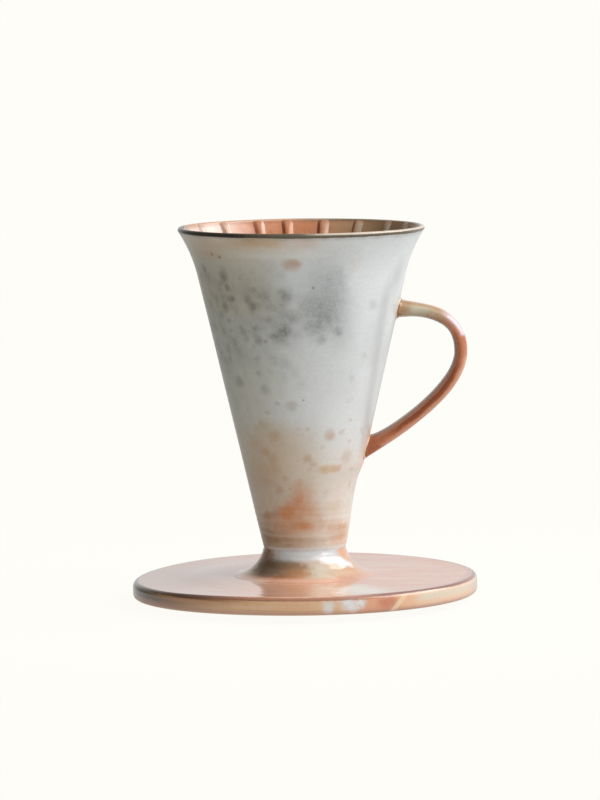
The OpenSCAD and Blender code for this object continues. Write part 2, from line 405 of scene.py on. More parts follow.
def build_plate(material):
    """The wide plate: faint turning rings and a slight dish on top, soft rounded edges. It sagged a
    little in the kiln on the side away from the handle."""
    top_edge, low_edge = 1.9, 1.4
    ring_pitch = 6.3  # of the turning rings
    recess_r = RING_HIGH.x + 0.2
    outline = line((SPIGOT_R, RECESS_H), (recess_r, RECESS_H), 1.5) + [(recess_r, RECESS_H)]
    outline += line((recess_r, 0), (PLATE_R - low_edge, 0), 1.5)
    outline += arc((PLATE_R - low_edge, low_edge), low_edge, -90, 0, 10)
    outline += arc((PLATE_R - top_edge, PLATE_T - top_edge), top_edge, 0, 90, 10)
    outline += line((PLATE_R - top_edge, PLATE_T), (SPIGOT_R, PLATE_T), 0.8)[1:]
    outline += line((SPIGOT_R, PLATE_T), (SPIGOT_R, RECESS_H), 1.5)

    def turned(r, z, a):
        top = ease(z, PLATE_T - 0.8, PLATE_T) * ease(r, 25, 40)
        side = ease(r, PLATE_R - 1.6, PLATE_R - 0.4)
        rings = 0.005 * sin(2 * pi * r / ring_pitch + 0.4 * a)
        dish = -0.12 * ease(r, 28, 50) * (1 - ease(r, 54, 62))
        sway = 0.07 * wave(a, r, 41, 16)
        away = max(0.0, -cos(a) * r / PLATE_R)
        sag = ease(r, 20, 52) * away**2 * (-1.0 - 0.75 * ease(z, 1.0, PLATE_T - 1.0))
        r += side * (0.10 * wave(a, z, 42, 24) + 0.05 * wave(a, z, 43, 5))
        return r, z + sag * ease(r, RING_HIGH.x, RING_HIGH.x + 14) + top * (rings + dish + sway)

    shape = lathe(outline, 384, turned)
    return finish_piece("cup_plate", shape, [material], "base_plate")


def build_ring(material):
    """The locating ring under the plate, with rounded edges, in bare clay."""
    outer, inner = RING_HIGH.x, RING_HIGH.x - 4.5
    low = RING_LOW.z
    tongue = outer - 1
    edge = 0.7
    outline = line((inner, RECESS_H), (inner, low + edge), 0.8)
    outline += arc((inner + edge, low + edge), edge, 180, 270, 6)
    outline += arc((outer - edge, low + edge), edge, 270, 360, 6)
    outline += line((outer, low + edge), (outer, 0), 0.8)[1:]
    outline += run(0.5, (outer, 0), (tongue, 0), (tongue, RECESS_H))
    outline += line((tongue, RECESS_H), (inner, RECESS_H), 1)

    def turned(r, z, a):
        return r, z + 0.03 * wave(a, r, 51, 9) * (1 - ease(z, low, low + 1))

    shape = lathe(outline, 256, turned)
    return finish_piece("centring_ring", shape, [material], "locating_ring")


# ---- handle

STRAP_T = 5.0
STRAP_W = 11.0
HANDLE_TOP_Z = 106.0
HANDLE_LOW_Z = 53.4
HANDLE_APEX = (59.0, 90.0)
LOW_SLOPE = radians(31.5)
ROOT_DEPTH = 1.8
RISE = HANDLE_APEX[1] - HANDLE_LOW_Z
LOW_DIR = (cos(LOW_SLOPE), sin(LOW_SLOPE))
TOP_END = (outer_r(HANDLE_TOP_Z) - ROOT_DEPTH, HANDLE_TOP_Z)
LOW_END = (outer_r(HANDLE_LOW_Z) - ROOT_DEPTH * LOW_DIR[0], HANDLE_LOW_Z - ROOT_DEPTH * LOW_DIR[1])
UPPER_CURVE = (
    TOP_END,
    (TOP_END[0] + 0.475 * (HANDLE_APEX[0] - TOP_END[0]), TOP_END[1]),
    (HANDLE_APEX[0], HANDLE_APEX[1] + 0.886 * (HANDLE_TOP_Z - HANDLE_APEX[1])),
    HANDLE_APEX,
)
LOWER_CURVE = (
    HANDLE_APEX,
    (HANDLE_APEX[0], HANDLE_APEX[1] - 0.388 * RISE),
    (LOW_END[0] + 0.432 * RISE * LOW_DIR[0], LOW_END[1] + 0.432 * RISE * LOW_DIR[1]),
    LOW_END,
)


def on_handle(s):
    """The centre line's point and unit direction at s, from 0 at the upper joint to 1 at the lower."""
    curve, t = (UPPER_CURVE, 2 * s) if s < 0.5 else (LOWER_CURVE, 2 * s - 1)
    u = 1 - t
    point, way = [], []
    for a, b, c, d in zip(*curve):
        point.append(u**3 * a + 3 * t * u * u * b + 3 * t * t * u * c + t**3 * d)
        way.append(u * u * (b - a) + 2 * t * u * (c - b) + t * t * (d - c))
    size = hypot(*way)
    return point, (way[0] / size, way[1] / size)


def strap_point(s, turn, grow=0.0):
    """A point on the strap's surface at s. turn goes round the section: 0 is its inner face, towards
    the cone, and pi its outer face."""
    p, d = on_handle(s)
    top = exp(-((s / 0.09) ** 2))
    low = exp(-(((1 - s) / 0.08) ** 2))
    pulled = 1 + 0.025 * sin(9 * s + 1) + 0.012 * sin(31 * s)
    half_w = STRAP_W / 2 * pulled + top + 0.8 * low + grow
    out_t = STRAP_T / 2 * pulled + 0.7 * top + grow
    in_t = out_t + 2 * low
    c, w = cos(turn), sin(turn)
    t = out_t if c < 0 else in_t
    u = t * copysign(abs(c) ** 0.78, c)
    v = half_w * copysign(abs(w) ** 0.86, w)
    groove = 0.22 * exp(-((v / 1.6) ** 2)) * (1 - top) * (1 - low)
    u -= copysign(groove, u) if c < 0 else 0
    return (p[0] + u * d[1], v, p[1] - u * d[0])


def leaves_cone(turn, lift, upper):
    """The place along the strap where its surface is at lift from the cone's straight side, found by
    halving."""
    inside, outside = (0.0, 0.25) if upper else (1.0, 0.75)
    for _ in range(30):
        middle = (inside + outside) / 2
        x, y, z = strap_point(middle, turn)
        if hypot(x, y) - outer_r(z) < lift:
            inside = middle
        else:
            outside = middle
    return (inside + outside) / 2


def build_handle(material):
    """The pulled strap, cut to the cone's surface at both ends."""
    around, stations = 72, 200
    sunk = -0.15  # how far the cut ends stand out from the cone: a little inside it
    turns = angles(around)
    starts = [leaves_cone(turn, sunk, True) for turn in turns]
    ends = [leaves_cone(turn, sunk, False) for turn in turns]
    rings, along, side = [], [], []
    for i in range(stations + 1):
        x = i / stations
        x -= 0.08 * sin(2 * pi * x) / pi  # closer together at both ends
        ring = []
        for turn, start, end in zip(turns, starts, ends):
            s = start + (end - start) * x
            ring.append(strap_point(s, turn))
            along.append(s)
            side.append(-cos(turn))
        rings.append(ring)
    shape = loft(rings)
    paint = {"along": along + [0.0, 1.0], "side": side + [0.0, 0.0]}
    return finish_piece("ear_handle", shape, [material], "handle", paint=paint)


def build_joint(name, node, material, upper, spread, climb):
    """Slip worked into a fillet round one end of the strap: hollow from the strap to the cone.
    spread is its width on the cone and climb its length along the strap."""
    around, steps = 96, 9
    turns = angles(around)
    foot = [strap_point(leaves_cone(turn, 0, upper), turn) for turn in turns]
    flat = [(atan2(p[1], p[0]) * hypot(p[0], p[1]), p[2]) for p in foot]
    rings, edge = [], []
    for j, turn in enumerate(turns):
        before, after = flat[j - 1], flat[(j + 1) % around]
        normal = (after[1] - before[1], before[0] - after[0])
        size = hypot(*normal)
        middle = HANDLE_TOP_Z if upper else HANDLE_LOW_Z
        sign = 1 if normal[0] * flat[j][0] + normal[1] * (flat[j][1] - middle) > 0 else -1
        rag = 1 + 0.18 * sin(3 * turn + 1) + 0.14 * sin(7 * turn)
        reach = spread * rag * (1.45 if upper and abs(cos(turn)) > 0.3 else 1.0)
        y = flat[j][0] + sign * normal[0] / size * reach
        z = flat[j][1] + sign * normal[1] / size * reach
        r = outer_r(z) - 0.12
        out = Vector((r * cos(y / r), r * sin(y / r), z))
        lift = leaves_cone(turn, climb * (1 + 0.15 * sin(5 * turn)), upper)
        high = Vector(strap_point(lift, turn, 0.02))
        corner = Vector(strap_point(leaves_cone(turn, 0.1, upper), turn, 0.05))
        ring = []
        for i in range(steps + 1):
            t = i / steps
            ring.append((1 - t) ** 2 * high + 2 * t * (1 - t) * corner + t * t * out)
            edge.append(t)
        sunk = Vector(strap_point(leaves_cone(turn, -0.5, upper), turn, -0.3))
        under = Vector(strap_point(lift, turn, -0.25))
        ring += [sunk, under]
        edge += [1.0, 0.0]
        rings.append([tuple(p) for p in ring])
    shape = loft(rings, closed_path=True)
    return finish_piece(name, shape, [material], node, paint={"edge": edge})


# ---- shader building

def srgb(code):
    """A display colour such as 0xFFEEDD as a linear RGBA."""
    def linear(v):
        v /= 255
        return v / 12.92 if v <= 0.04045 else ((v + 0.055) / 1.055) ** 2.4
    return (linear(code >> 16), linear(code >> 8 & 255), linear(code & 255), 1.0)


def operator(operation, swapped=False):
    """A method of Value that adds a Math node with the value and another one."""
    def method(self, other):
        a, b = (other, self) if swapped else (self, other)
        return self.graph.math(operation, a, b)
    return method


class Value:
    """The output of a node. If it is a number, arithmetic with it makes more nodes."""

    __add__ = __radd__ = operator("ADD")
    __mul__ = __rmul__ = operator("MULTIPLY")
    __sub__ = operator("SUBTRACT")
    __rsub__ = operator("SUBTRACT", swapped=True)
    __truediv__ = operator("DIVIDE")

    def __init__(self, graph, socket):
        self.graph = graph
        self.socket = socket

    def ramp(self, low, high):
        """0 at low, 1 at high, smooth between. Where both are plain numbers, low may be the greater."""
        if not isinstance(low, Value) and low > high:
            return 1 - self.ramp(high, low)
        limits = {"Value": self, "From Min": low, "From Max": high}
        return self.graph.value("MapRange", limits, interpolation_type="SMOOTHSTEP")

    def band(self, low, high, soft):
        """1 between low and high, falling to 0 over soft on each side."""
        return self.ramp(low - soft, low) * self.ramp(high + soft, high)


class Graph:
    """Adds nodes to one node tree and joins them. An input may be given as a Value, a number, a vector,
    a linear RGBA, or a display colour such as 0xFFEEDD. A node's kind leaves out its ShaderNode."""

    def __init__(self, tree):
        self.tree = tree

    def locate(self):
        """Works out the point in mm, its x, y and height, its bearing in degrees, radius and azimuth,
        and the noise that makes edges ragged. The azimuth is the bearing in front, and runs back from
        90 to 0 behind, so that nothing jumps at the back."""
        raw = self.value("TexCoord", out="Object")
        self.point = self.vector("MULTIPLY", raw, (1 / MM, 1 / MM, 1 / MM))
        self.x, self.y, self.height = self.split(self.point)
        self.bearing = self.math("DEGREES", self.math("ARCTAN2", self.x, self.y * -1))
        depth = self.math("ABSOLUTE", self.y)
        self.azimuth = self.math("DEGREES", self.math("ARCTAN2", self.x, depth))
        self.radius = self.math("SQRT", self.x * self.x + self.y * self.y)
        self.ragged = self.noise(2.6, 2.5, 0.6, seed=9)

    def add(self, kind, inputs=(), **settings):
        node = self.tree.nodes.new("ShaderNode" + kind)
        for key, value in settings.items():
            setattr(node, key, value)
        for key, value in dict(inputs).items():
            self.put(node.inputs[key], value)
        return node

    def put(self, socket, value):
        if isinstance(value, Value):
            self.tree.links.new(value.socket, socket)
        elif socket.type == "RGBA" and isinstance(value, int):
            socket.default_value = srgb(value)
        else:
            socket.default_value = value

    def value(self, kind, inputs=(), out=0, **settings):
        """One output of a new node."""
        return Value(self, self.add(kind, inputs, **settings).outputs[out])

    def math(self, operation, a, b=0):
        return self.value("Math", {0: a, 1: b}, operation=operation)

    def vector(self, operation, a, b, out=0):
        return self.value("VectorMath", {0: a, 1: b}, out, operation=operation)

    def split(self, vector):
        """The three numbers of a vector."""
        return [Value(self, part) for part in self.add("SeparateXYZ", {0: vector}).outputs]

    def mix(self, factor, a, b, blend="MIX"):
        inputs = {0: factor, 6: a, 7: b}
        return self.value("Mix", inputs, 2, data_type="RGBA", blend_type=blend)

    def painted(self, name):
        """A float attribute of the mesh."""
        return self.value("Attribute", out="Fac", attribute_name=name)

    def place(self, point, seed, stride, size):
        """A point divided by size along each axis, then moved by seed strides."""
        shift = tuple(seed * s for s in stride)
        scale = tuple(1 / s for s in size)
        return self.value("Mapping", {"Vector": point, "Location": shift, "Scale": scale})

    def noise(self, size, detail=2, rough=0.5, stretch=(1, 1, 1), seed=0, distort=0):
        """Noise from 0 to 1 with features of a size in mm, stretched along the axes."""
        where = self.place(self.point, seed, (37.1, 11.7, 5.3), [size * s for s in stretch])
        return self.value("TexNoise", {
            "Vector": where, "Scale": 1, "Detail": detail, "Roughness": rough, "Distortion": distort,
        })

    def turned_noise(self, size, seed, detail=2):
        """Noise that is drawn out round the axis, as by a brush or fingers on a turning wheel."""
        inputs = {0: self.azimuth / 70, 1: self.radius / size, 2: self.height / size}
        where = self.value("CombineXYZ", inputs)
        where = self.place(where, seed, (1, 2.7, 1.3), (1, 1, 1))
        return self.value("TexNoise", {"Vector": where, "Scale": 1, "Detail": detail})

    def spots(self, size, share, low, high, seed, warp=0):
        """Spots about a size apart, in a share of the places. Each fades out from low to high, as
        shares of the size. warp bends them out of round."""
        where = self.place(self.point, seed, (29.3, 7.9, 3.1), (size, size, size))
        if warp:
            bend = self.value("TexNoise", {"Vector": where, "Scale": 2.2, "Detail": 2}, 1)
            bend = self.vector("SUBTRACT", bend, (0.5, 0.5, 0.5))
            bend = self.vector("MULTIPLY", bend, (warp * 3, warp * 3, warp * 3))
            where = self.vector("ADD", where, bend)
        cells = self.add("TexVoronoi", {"Vector": where, "Scale": 1}).outputs
        colour = Value(self, cells["Color"])
        chance = self.value("SeparateColor", {0: colour})
        distance = Value(self, cells["Distance"]) / (chance * (0.55 / share) + 0.45)
        return self.math("LESS_THAN", chance, share) * distance.ramp(high, low)

    def patch(self, bearing, height, half_w, half_h, soft=0.5, rag=0.6, grain=None):
        """A soft patch on the form, centred at a bearing in degrees and a height in mm."""
        grain = grain or self.ragged
        inputs = (self.bearing, self.radius, self.height, bearing, height, half_w, half_h, soft, rag, grain)
        return self.value("Group", enumerate(inputs), node_tree=patch_group())

    def cover(self, rows, rag=0.6, grain=None):
        """How much a set of patches covers, from 0 to 1. Each row holds a patch's bearing, height,
        half width, half height, softness and strength."""
        return self.math("MINIMUM", sum(self.patch(*row[:5], rag, grain) * row[5] for row in rows), 1)

    def layered(self, base, layers):
        """Lays colours over a base, each with its own mask."""
        for mask, colour in layers:
            base = self.mix(mask, base, colour)
        return base

    def dimmed(self, colour, amount):
        """A colour multiplied by a number."""
        return self.mix(1, colour, amount, "MULTIPLY")

    def bump(self, height, depth_mm, normal=None):
        node = self.add("Bump", {"Strength": 1, "Distance": depth_mm * MM, "Height": height})
        if normal:
            self.put(node.inputs["Normal"], normal)
        return Value(self, node.outputs[0])


def patch_group():
    """The node group behind Graph.patch(), which is made once."""
    name = "glaze_patch"
    if name in bpy.data.node_groups:
        return bpy.data.node_groups[name]
    tree = bpy.data.node_groups.new(name, "ShaderNodeTree")
    inputs = "bearing radius height at_bearing at_height half_w half_h soft rag grain".split()
    for key in inputs:
        tree.interface.new_socket(key, in_out="INPUT", socket_type="NodeSocketFloat")
    tree.interface.new_socket("mask", in_out="OUTPUT", socket_type="NodeSocketFloat")
    g = Graph(tree)
    given = tree.nodes.new("NodeGroupInput").outputs
    bearing, radius, height, at_bearing, at_height, half_w, half_h, soft, rag, grain = [
        Value(g, given[key]) for key in inputs
    ]
    turn = bearing - at_bearing
    turn = turn - g.math("ROUND", turn / 360) * 360
    across = turn * radians(1) * radius / half_w
    up = (height - at_height) / half_h
    distance = g.math("SQRT", across * across + up * up) + rag * (grain - 0.5)
    g.put(tree.nodes.new("NodeGroupOutput").inputs[0], 1 - distance.ramp(1 - soft, 1 + soft))
    return tree


def new_material(name, paint):
    """A material whose nodes are made by paint(graph), which gives the glaze shader's inputs."""
    material = bpy.data.materials.new(name)
    material.use_nodes = True
    graph = Graph(material.node_tree)
    graph.locate()
    shader = material.node_tree.nodes["Principled BSDF"]
    for key, value in paint(graph).items():
        graph.put(shader.inputs[key], value)
    return material


def glaze(colour, roughness, normal, coat, coat_roughness, ior=1.5):
    """The shader's inputs for a surface with a share of clear coat."""
    return {
        "Base Color": colour, "Roughness": roughness, "IOR": ior, "Normal": normal,
        "Coat Weight": coat, "Coat Roughness": coat_roughness,
    }


def fine_grain(g, seed):
    """The speckle and the soft mottling that all the glazes share."""
    return g.noise(0.55, 1, seed=seed), g.noise(1.8, 2, 0.6, seed=seed + 1)


# ---- ash glaze
# Each row of these tables is a mark: bearing, height, half width, half height, softness, strength.

GREY_BLOOMS = (
    (-65, 122.8, 1.6, 1.4, 0.7, 0.4), (-47, 120.8, 2, 2.6, 0.8, 0.45),
    (-46, 116.6, 1.2, 1.2, 0.6, 0.45), (-26, 114.6, 3.6, 4, 0.9, 0.22),
    (-28, 115.7, 1.4, 1.3, 0.7, 0.3), (-43, 112.5, 1, 1, 0.7, 0.35), (-51, 108.8, 1.5, 1.8, 0.7, 0.5),
    (-50, 103.9, 1.1, 1, 0.7, 0.35), (-58, 112, 1.3, 1.6, 0.8, 0.35), (-32, 111.9, 1.7, 1.6, 0.7, 0.35),
    (-30, 109.7, 1.5, 1.5, 0.6, 0.35), (-20, 113.6, 2, 2, 0.8, 0.25), (-18, 110.5, 3.2, 2.6, 0.9, 0.18),
    (-9.5, 113.7, 3.3, 3, 0.6, 0.35), (-9, 113.5, 1.5, 1.4, 0.8, 0.3),
    (-10, 106.8, 2.8, 2.8, 0.9, 0.16), (-5, 105.9, 2.2, 2, 0.9, 0.2), (-10.6, 100.6, 3, 2.8, 0.8, 0.32),
    (-8, 103, 6.4, 7.6, 0.9, 0.2), (-28.6, 97.3, 1.8, 1.6, 0.7, 0.4),
    (-23.5, 96.8, 0.8, 0.8, 0.6, 0.35), (-39, 100.2, 1.3, 1.2, 0.8, 0.3),
    (-56.6, 93.3, 1.7, 1.8, 0.7, 0.4), (-51.7, 81, 1.9, 2.1, 0.7, 0.45),
    (-28.5, 78.8, 1.9, 1.7, 0.7, 0.35), (-32, 84.7, 1, 0.9, 0.7, 0.3),
    (-11.7, 88.7, 1.8, 1.7, 0.9, 0.2), (-1, 81.2, 1.7, 1.6, 0.9, 0.14),
    (36.5, 82.3, 1.3, 1.2, 0.9, 0.2), (45, 90.7, 1.1, 1, 0.9, 0.2), (46, 109.3, 2, 1.7, 0.9, 0.25),
    (-43, 92.6, 3.6, 3, 1, 0.2), (-29, 105.4, 4.2, 4, 1, 0.2), (-23, 101.7, 3.4, 3.2, 1, 0.14),
    (-8.3, 72.8, 1.9, 1.6, 0.8, 0.25), (-19.7, 73.5, 0.9, 0.8, 0.7, 0.3),
    (12.5, 113, 8.2, 13, 0.7, 0.42), (14.4, 108.5, 4.6, 5, 0.8, 0.28),
    (18.3, 119.5, 4.2, 4.6, 0.9, 0.18), (27, 106, 5, 9, 0.9, 0.16), (24, 97, 5, 5, 0.9, 0.14),
    (3.6, 111, 3, 3.4, 0.9, 0.2), (8.7, 103, 4.6, 3.2, 0.9, 0.24), (7.7, 101.4, 2.8, 1.9, 0.9, 0.1),
    (12, 97.3, 1.8, 1.8, 0.7, 0.35), (22.6, 100.2, 1.9, 1.8, 0.8, 0.3),
    (6.3, 116.8, 0.5, 0.5, 0.6, 0.5), (57, 112, 3, 5, 0.9, 0.16), (66, 119.5, 4.6, 5, 0.9, 0.3),
    (56, 100, 2.6, 12, 1, 0.2), (60.5, 80, 2.2, 14, 1, 0.17), (64, 62, 1.8, 9, 1, 0.12),
    (-100, 96, 9, 13, 0.9, 0.4), (130, 104, 8, 12, 0.8, 0.4), (178, 110, 7, 7, 0.8, 0.35),
    (-150, 84, 4, 4, 0.8, 0.35),
)
TAN_SPOTS = (
    (-5.1, 125.4, 3.6, 2.1, 0.55, 0.52), (-3, 126.3, 2.2, 1.2, 0.8, 0.22),
    (-34, 65.2, 1.9, 1.6, 0.8, 0.3), (-25, 61.3, 2.4, 1.9, 0.8, 0.42), (-37, 55.1, 2, 1.5, 0.7, 0.5),
    (-29, 52.3, 1.9, 1.9, 0.8, 0.42), (-48, 57.8, 2.2, 2.4, 0.8, 0.28), (-26, 40.6, 1.5, 1.5, 0.7, 0.5),
    (22.6, 61.4, 2.1, 2.1, 0.6, 0.38), (22.6, 60.7, 1.5, 1.2, 0.8, 0.18),
    (3.5, 52.6, 1.6, 1.5, 0.7, 0.5), (9, 50.2, 1.4, 1, 0.8, 0.35), (-39, 43.6, 1.6, 1, 0.9, 0.25),
    (-28, 48.5, 1.6, 1.3, 0.9, 0.3), (43, 52.6, 2.2, 2.3, 0.9, 0.35),
    (-14.5, 41.1, 0.7, 0.6, 0.6, 0.35), (-120, 60, 3, 3, 0.8, 0.4), (-170, 52, 4, 3, 0.8, 0.4),
    (150, 66, 3, 2.4, 0.8, 0.4), (-8, 73, 1.6, 1.4, 0.8, 0.12),
)
OCHRE_SPOTS = (
    (24.8, 48.3, 4.3, 1.7, 0.6, 0.45), (18.9, 48.4, 1.6, 1.4, 0.8, 0.2), (31, 48.3, 1.7, 1.4, 0.8, 0.2),
    (-18.7, 133.9, 7.6, 1.8, 0.8, 0.62), (-33, 133.2, 6, 1.8, 0.9, 0.4), (-40, 47, 6, 5, 0.9, 0.3),
    (38, 33.5, 3.6, 2.4, 0.9, 0.3), (28.8, 125.1, 2.4, 2.4, 0.9, 0.1), (-24, 57, 9, 7, 0.9, 0.3),
)
FOOT_ORANGES = (
    (-4.7, 43.5, 1.4, 1.5, 0.7, 0.35), (0, 40, 3.6, 3.2, 0.9, 0.34), (-8, 38.5, 2.2, 3.2, 0.9, 0.28),
    (-2.3, 35, 5.2, 3.4, 0.8, 0.44), (-22, 32.2, 2.6, 2.2, 0.8, 0.52), (-14, 30.5, 8, 4.6, 0.9, 0.62),
    (1.5, 27.1, 2.4, 1.8, 0.8, 0.4), (-14, 25.5, 9, 3.4, 0.9, 0.31),
)
FOOT_OLIVES = (
    (-51, 29.4, 2.4, 1.4, 0.8, 0.4), (-41.5, 30.8, 3, 1.4, 0.8, 0.4), (-62, 22, 5, 6, 0.9, 0.5),
    (-36, 22, 6, 3.4, 0.9, 0.42), (-10, 21, 7, 1.7, 0.9, 0.17), (12, 20.9, 4.4, 1.5, 0.9, 0.16),
    (-50, 42, 9, 13, 0.9, 0.25),
)
FOOT_PEACHES = (
    (40, 26.7, 4.8, 2.2, 0.8, 0.45), (50, 22.5, 5, 3.2, 0.9, 0.7), (14, 30.5, 3.2, 3.8, 0.9, 0.35),
    (-4, 24, 8, 2, 0.9, 0.1), (64, 24, 4, 3, 0.8, 0.5),
)


def grey_blooms(g, left, puddle, coarse, soft):
    """Grey blooms: a mottled field on the left, single ones, and a tall patch right of the middle."""
    height, azimuth = g.height, g.azimuth
    blooms = g.spots(4.4, 0.9, 0.05, 0.85, 4, 0.18)
    big_blooms = g.spots(9, 0.7, 0, 0.7, 5, 0.16)
    mottling = 0.13 + blooms * 0.22 + big_blooms * 0.2 + puddle.ramp(0.42, 0.62) * 0.12
    field = azimuth.ramp(4, -22) * height.band(92, 118, 10) * mottling
    lower = height.band(62, 98, 12) * azimuth.ramp(36, -10) * (big_blooms * 0.14 + blooms * 0.08)
    grains = (puddle * 0.4 + soft * 0.35 + coarse * 0.3).ramp(0.34, 0.74)
    greys = g.cover(GREY_BLOOMS) + field + lower
    greys = greys * (0.7 + grains * 0.32 + coarse.ramp(0.32, 0.68) * 0.2)
    return [(g.math("MINIMUM", greys, 0.9), g.mix(left, 0x7E7F7E, 0x827E72))]


def warm_marks(g):
    """Streaks under the lip, single tan spots, and ochre ones lower down."""
    height, azimuth = g.height, g.azimuth
    dots = g.spots(5, 0.6, 0.1, 0.45, 6, 0.12)
    return [
        (azimuth.band(-78, 4, 20) * height.band(44, 60, 9) * 0.22, 0xC4AC86),
        (dots * height.band(42, 70, 8) * 0.32, 0xBA9874),
        (g.cover(OCHRE_SPOTS), 0xC8A06C),
        (g.cover(TAN_SPOTS), 0xB8906C),
        (g.cover([(-20, 128.8, 11, 1, 0.9, 0.5), (2, 129.2, 7, 0.9, 0.9, 0.35)]), 0xE2E0D8),
        (g.cover([
            (-50, 132.2, 7, 1.9, 0.9, 0.4), (-54, 128.4, 6, 1.5, 0.9, 0.45),
            (1.7, 133.7, 4.4, 1.7, 0.8, 0.4), (44, 45, 5, 8, 0.9, 0.1),
        ]), 0xD4AC96),
    ]


def foot_marks(g):
    """The foot: olive on the left, an orange patch like a hill in the middle, peach on the right,
    and foam where the cone meets the neck."""
    height, azimuth = g.height, g.azimuth
    turned = g.turned_noise(1.7, 3)
    rag = g.noise(3.2, 3, 0.65, seed=6)
    wander = height + rag - 0.5
    low = height.ramp(31, 22)
    foam = wander.ramp(CONE_Z + 1.7, CONE_Z + 0.7) * azimuth.ramp(-72, -50) * azimuth.ramp(75, 50)
    return [
        (height.ramp(40, 20) * azimuth.ramp(20, -40) * 0.5, 0xB8A284),
        (g.cover(FOOT_OLIVES, 1, rag), 0x927658),
        (g.cover(FOOT_ORANGES, 1, rag), 0xC68C62),
        (g.cover(FOOT_PEACHES, 1, rag), 0xCAA486),
        (low * turned.ramp(0.52, 0.68) * 0.22, 0xDED2C4),
        (low * turned.ramp(0.46, 0.32) * 0.22, 0x8C7054),
        (wander.band(28.7, 29.1, 0.7) * 0.14, 0xE2D6C8),
        (wander.band(23, 24.2, 1) * azimuth.ramp(-50, 20) * 0.4, 0xD8D0C6),
        (foam * 0.9, 0xD6DADC),
    ]


def joint_blush(g, puddle):
    """Warm blush on the cone round both of the handle's joints."""
    layers = []
    for z, size in ((HANDLE_TOP_Z, 8.0), (HANDLE_LOW_Z, 10.5)):
        gap = g.vector("DISTANCE", g.point, (outer_r(z), 0, z), out=1) + (puddle - 0.5) * 6
        layers.append((gap.ramp(size + 4, size - 4.5) * 0.6, 0xE6C0A8))
    return layers


def paint_ash(g):
    """The cone's outside: satin ash glaze with soft grey blooms and a fine grain above, greenish on
    the left, and warmer below, with tan spots and an orange patch near the foot. Painted light
    makes it paler just under the lip on the left, and painted shade makes a brown band under the lip."""
    height, azimuth = g.height, g.azimuth
    speckle, soft = fine_grain(g, 1)
    coarse = g.noise(0.9, 2, 0.6, seed=12)
    cloud = g.noise(24, 3, 0.55, seed=2)
    puddle = g.noise(6, 3, 0.6, seed=3)
    left = azimuth.ramp(8, -40)
    under_lip_shade_height = height + (g.noise(4, seed=7) - 0.5) * 1.6
    layers = [
        (left * 0.7, 0xCACBC1),
        (height.ramp(70, 38) * 0.85, g.mix(azimuth.ramp(-15, 45), 0xCEC0AC, 0xE2D9CD)),
        # Painted light: paler just under the lip on the left, as if lit from the pale floor below.
        (height.ramp(125, 132) * azimuth.ramp(30, -30) * 0.85, 0xE6D6C4),
        (cloud.ramp(0.42, 0.66) * 0.2, 0xBABBB8),
        (height.band(110, 128, 8) * azimuth.ramp(0, -34) * 0.5, 0xCEC0A6),
        (height.band(64, 84, 12) * azimuth.ramp(0, -36) * 0.24, 0xAAA390),
    ]
    layers += grey_blooms(g, left, puddle, coarse, soft) + warm_marks(g) + foot_marks(g)
    layers += joint_blush(g, puddle)
    # Painted shade: a brown band just under the lip band, with a ragged lower edge.
    layers.append((under_lip_shade_height.ramp(LIP_Z - 3.2, LIP_Z - 0.9) * 0.5, 0x807460))
    colour = g.layered(0xDADCDC, layers)
    colour = g.dimmed(colour, 0.81 + speckle * 0.15 + coarse * 0.13 + soft * 0.1)
    pins = g.cover([
        (-51.7, 128.7, 0.7, 0.6, 0.6, 0.5), (-46.4, 127.7, 0.7, 0.6, 0.6, 0.55),
        (0.2, 74.8, 0.4, 0.35, 0.6, 0.5), (-30, 70, 0.4, 0.4, 0.6, 0.3),
    ], 0.2)
    pins = g.math("MAXIMUM", pins, g.spots(4.2, 0.25, 0.04, 0.09, 8) * 0.35)
    colour = g.mix(pins, colour, 0x645446)
    ripple = g.bump(g.noise(2.2, seed=10), 0.03)
    normal = g.bump(speckle + coarse * 0.8, 0.012, ripple)
    return glaze(colour, 0.27 + cloud * 0.12 + soft * 0.1, normal, 0.2, 0.14)


# ---- other glazes

def paint_copper(g):
    """The inside: glossy salmon glaze, with painted light that makes it pale at the left and painted
    shade that makes it olive on the handle's side, a painted highlight down one flank of each rib and
    painted shade down the other, and amber towards the outlet."""
    height, across = g.height, g.x
    speckle, soft = fine_grain(g, 21)
    cloud = g.noise(12, 3, 0.6, seed=22)
    runs = g.noise(3.2, 2, 0.6, stretch=(1, 1, 4.5), seed=23)
    flank = g.painted("flank")
    # olive masks the painted shade on the handle's side, which faces away from the window.
    olive = across.ramp(2, 20)
    on_rib = g.painted("relief").ramp(0.03, 0.15)
    # pale is a painted highlight down one flank of each rib, and dark is painted shade down the other.
    pale = on_rib * flank.ramp(-0.15, -0.7) * (0.85 - across.band(-12, 8, 6) * 0.7)
    dark = on_rib * flank.ramp(0.25, 0.6) * (0.5 + across.ramp(-24, 0) * 0.4)
    colour = g.layered(0xC67E52, [
        (cloud.ramp(0.35, 0.7) * 0.5, 0xD29874),
        (runs.ramp(0.48, 0.7) * 0.55, 0xBA663E),
        # Painted light: pale on the left wall, which faces the window; then painted shade, olive and
        # darker, on the handle's side.
        (across.ramp(-16, -38) * 0.85, 0xEED9CA),
        (olive * 0.8, 0xB09472),
        (across.ramp(18, 34) * 0.85, 0x786448),
        (height.ramp(84, 36), 0xB86A40),
        # Painted highlight down one flank of each rib, greyer on the handle's side, then painted shade down
        # the other.
        (pale, g.mix(olive, 0xFAECE2, 0xA69E8E)),
        (dark, 0x70361E),
        (height.ramp(LIP_Z - 2, LIP_Z - 0.8) * 0.5, 0xA87050),
    ])
    colour = g.dimmed(colour, 0.9 + speckle * 0.1 + soft * 0.1)
    colour = g.mix(g.spots(6, 0.2, 0.04, 0.09, 24) * 0.6, colour, 0x5C3826)
    normal = g.bump(speckle, 0.008, g.bump(g.noise(2.6, seed=25), 0.05))
    return glaze(colour, 0.2 + soft * 0.1, normal, 0.15, 0.08, ior=1.45)


